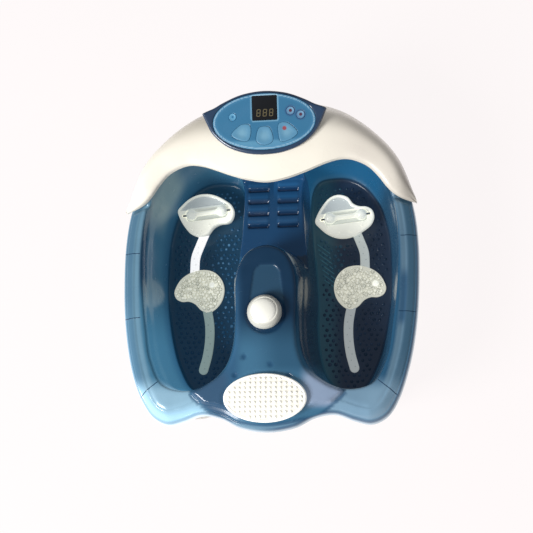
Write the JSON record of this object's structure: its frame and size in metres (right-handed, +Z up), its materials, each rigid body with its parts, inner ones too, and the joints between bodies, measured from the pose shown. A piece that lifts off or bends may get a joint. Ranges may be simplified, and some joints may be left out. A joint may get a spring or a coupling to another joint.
{
  "type": "foot spa basin",
  "caption": "Foot spa basin with a clear blue tub of two foot wells, nodule and roller fittings, a turning massage head, a white rear cover and an oval control panel.",
  "frame": {"origin": "centre of the overall box, on the surface the rubber feet stand on", "axes": "+X to the right of a seated user, +Y towards the control panel, +Z up"},
  "size_m": [0.393, 0.443, 0.2073],
  "materials": {
    "tinted_tub": "clear blue, polished",
    "housing": "fine satin",
    "white_cover": "gloss warm white",
    "pod_blue": "satin dark blue",
    "panel_blue": "printed satin film",
    "display": "smoked window with number segments",
    "petal": "soft satin",
    "key": "satin",
    "board": "glass-fibre board",
    "rubber": "matt",
    "white_plastic": "gloss",
    "clear_white": "translucent milky",
    "steel": "zinc plated",
    "acetal": "moulded",
    "brass": "machined",
    "aluminium": "pressed sheet",
    "motor_can": "plated",
    "hose": "soft clear tube"
  },
  "bodies": {
    "root": {"tub": "tinted_tub", "base_housing": "housing", "rear_cover": "white_cover", "control_pod": "pod_blue", "panel_fascia": "panel_blue", "display_window": "display", "control_board": "board", "main_board": "board", "cord_gland": "rubber", "spindle_seal": "rubber", "panel_cable": "rubber", "drive_frame": "aluminium", "gear_motor": "motor_can", "vibration_motor": "motor_can", "air_pump": "motor_can", "acupressure_pad_left": "clear_white", "roller_tray_left": "white_plastic", "roller_axle_left": "steel", "heater_plate_left": "aluminium", "air_hose_left": "hose", "bubble_strip_front_left": "clear_white", "foot_front_left": "rubber", "bubble_strip_rear_left": "clear_white", "foot_rear_left": "rubber", "acupressure_pad_right": "clear_white", "roller_tray_right": "white_plastic", "roller_axle_right": "steel", "heater_plate_right": "aluminium", "air_hose_right": "hose", "bubble_strip_front_right": "clear_white", "foot_front_right": "rubber", "bubble_strip_rear_right": "clear_white", "foot_rear_right": "rubber", "base_screw_1": "steel", "base_screw_2": "steel", "base_screw_3": "steel", "base_screw_4": "steel", "base_screw_5": "steel", "base_screw_6": "steel"},
    "spindle": {"head_spindle": "steel", "spindle_gear": "acetal"},
    "massage_head": {"massage_head": "white_plastic"},
    "pinion": {"motor_pinion": "brass"},
    "nodule_pad": {"nodule_pad": "white_plastic"},
    "eccentric": {"eccentric_weight": "steel"},
    "roller_left": {"foot_roller_left": "clear_white"},
    "roller_right": {"foot_roller_right": "clear_white"},
    "button_left": {"button_left": "petal"},
    "button_middle": {"button_middle": "petal"},
    "button_right": {"button_right": "petal"},
    "key_light": {"key_light": "key"},
    "key_minus": {"key_minus": "key"},
    "key_plus": {"key_plus": "key"}
  },
  "joints": [
    {"name": "spindle_turn", "type": "hinge", "parent": "root", "child": "spindle", "pos_m": [0, -0.075, 0.119], "axis": [0, 0, 1], "continuous": true},
    {"name": "pinion_turn", "type": "hinge", "parent": "root", "child": "pinion", "pos_m": [0, -0.099, 0.119], "axis": [0, 0, 1], "continuous": true},
    {"name": "head_lift", "type": "slide", "parent": "spindle", "child": "massage_head", "axis": [0, 0, 1], "range_m": [0, 0.03]},
    {"name": "pad_lift", "type": "slide", "parent": "root", "child": "nodule_pad", "axis": [0, -0.0698, 0.9976], "range_m": [0, 0.03]},
    {"name": "eccentric_turn", "type": "hinge", "parent": "root", "child": "eccentric", "pos_m": [0.02, -0.172, 0.026], "axis": [1, 0, 0], "continuous": true},
    {"name": "roller_left_turn", "type": "hinge", "parent": "root", "child": "roller_left", "pos_m": [-0.1015, 0.0985, 0.062], "axis": [0.9945, 0.1045, 0], "continuous": true},
    {"name": "roller_right_turn", "type": "hinge", "parent": "root", "child": "roller_right", "pos_m": [0.097, 0.0855, 0.062], "axis": [0.9945, 0.1045, 0], "continuous": true},
    {"name": "button_left_press", "type": "slide", "parent": "root", "child": "button_left", "axis": [0, 0.2588, -0.9659], "range_m": [0, 0.0008], "stiffness_N_per_m": 400},
    {"name": "button_middle_press", "type": "slide", "parent": "root", "child": "button_middle", "axis": [0, 0.2588, -0.9659], "range_m": [0, 0.0008], "stiffness_N_per_m": 400},
    {"name": "button_right_press", "type": "slide", "parent": "root", "child": "button_right", "axis": [0, 0.2588, -0.9659], "range_m": [0, 0.0008], "stiffness_N_per_m": 400},
    {"name": "key_light_press", "type": "slide", "parent": "root", "child": "key_light", "axis": [0, 0.2588, -0.9659], "range_m": [0, 0.0008], "stiffness_N_per_m": 400},
    {"name": "key_minus_press", "type": "slide", "parent": "root", "child": "key_minus", "axis": [0, 0.2588, -0.9659], "range_m": [0, 0.0008], "stiffness_N_per_m": 400},
    {"name": "key_plus_press", "type": "slide", "parent": "root", "child": "key_plus", "axis": [0, 0.2588, -0.9659], "range_m": [0, 0.0008], "stiffness_N_per_m": 400}
  ],
  "couplings": [
    {"joint": "pinion_turn", "follows": "spindle_turn", "ratio": -3}
  ]
}
